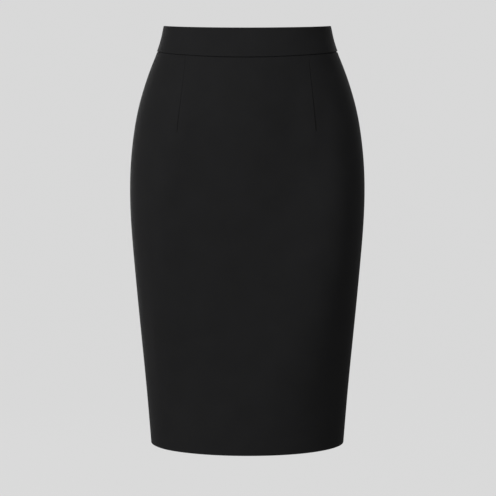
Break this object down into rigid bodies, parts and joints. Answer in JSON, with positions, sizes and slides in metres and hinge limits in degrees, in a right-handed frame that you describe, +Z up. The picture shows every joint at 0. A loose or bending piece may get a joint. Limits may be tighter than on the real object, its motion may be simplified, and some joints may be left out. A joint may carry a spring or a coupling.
{
  "type": "pencil skirt",
  "caption": "Knee-length pencil skirt with a contoured waistband, front and back darts, a concealed back zip and a walking vent, filled out as worn.",
  "frame": {"origin": "middle of the waistband's ring, half-way down the band, where the wearer's waist holds the skirt", "axes": "+Z up, +X towards the wearer's left, -Y towards the front"},
  "size_m": [0.3468, 0.243, 0.62],
  "materials": {
    "skirt_cloth": "matte black suiting with a fine even weave",
    "zip_tape": "matte black woven tape and coil",
    "zip_metal": "black lacquered metal, satin"
  },
  "bodies": {
    "skirt": {"front": "skirt_cloth", "back_left": "skirt_cloth", "back_right": "skirt_cloth", "waistband_front": "skirt_cloth", "waistband_back_left": "skirt_cloth", "waistband_back_right": "skirt_cloth", "zip_tape_left": "zip_tape", "zip_tape_right": "zip_tape", "zip_chain": "zip_tape", "zip_slider": "zip_metal"},
    "pull": {"zip_pull": "zip_metal"}
  },
  "joints": [
    {"name": "pull_swing", "type": "hinge", "parent": "skirt", "child": "pull", "pos_m": [0, 0.09917, 0.00759], "axis": [1, 0, 0], "range_deg": [0, 170]}
  ]
}
